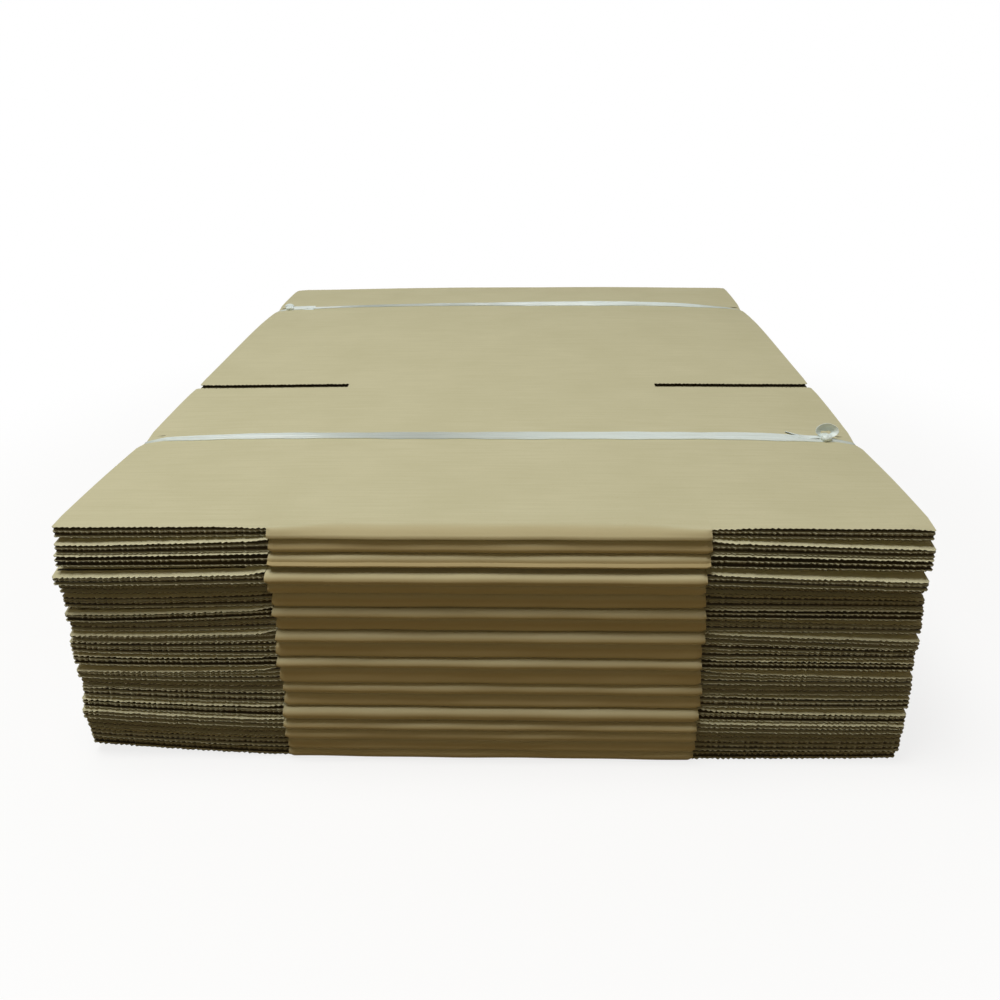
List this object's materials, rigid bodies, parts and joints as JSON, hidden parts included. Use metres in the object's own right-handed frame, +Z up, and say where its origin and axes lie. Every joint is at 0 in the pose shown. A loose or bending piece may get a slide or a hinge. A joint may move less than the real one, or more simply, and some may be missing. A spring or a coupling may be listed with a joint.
{
  "type": "bundle of flattened cardboard boxes",
  "caption": "Tied bundle of flattened corrugated cardboard boxes, with rounded folds, slotted flaps and flat plastic film ties.",
  "frame": {"origin": "middle of the bundle's underside, at the bottom centre of its box", "axes": "+Z up through the stack, +X along the flutes and the two ties, +Y from the front folds to the back folds"},
  "size_m": [0.5046, 0.607, 0.1661],
  "materials": {
    "kraft_board": "matte natural kraft liner",
    "film_tie": "glossy white drawn film"
  },
  "bodies": {
    "root": {"flat_box_01": "kraft_board", "flat_box_02": "kraft_board", "flat_box_03": "kraft_board", "flat_box_04": "kraft_board", "flat_box_05": "kraft_board", "flat_box_06": "kraft_board", "flat_box_07": "kraft_board", "flat_box_08": "kraft_board", "flat_box_09": "kraft_board", "flat_box_10": "kraft_board", "flat_box_11": "kraft_board", "flat_box_12": "kraft_board", "flat_box_13": "kraft_board", "flat_box_14": "kraft_board", "flat_box_15": "kraft_board", "flat_box_16": "kraft_board", "flat_box_17": "kraft_board", "flat_box_18": "kraft_board", "flat_box_19": "kraft_board", "tie_front": "film_tie", "tie_rear": "film_tie"}
  },
  "joints": []
}
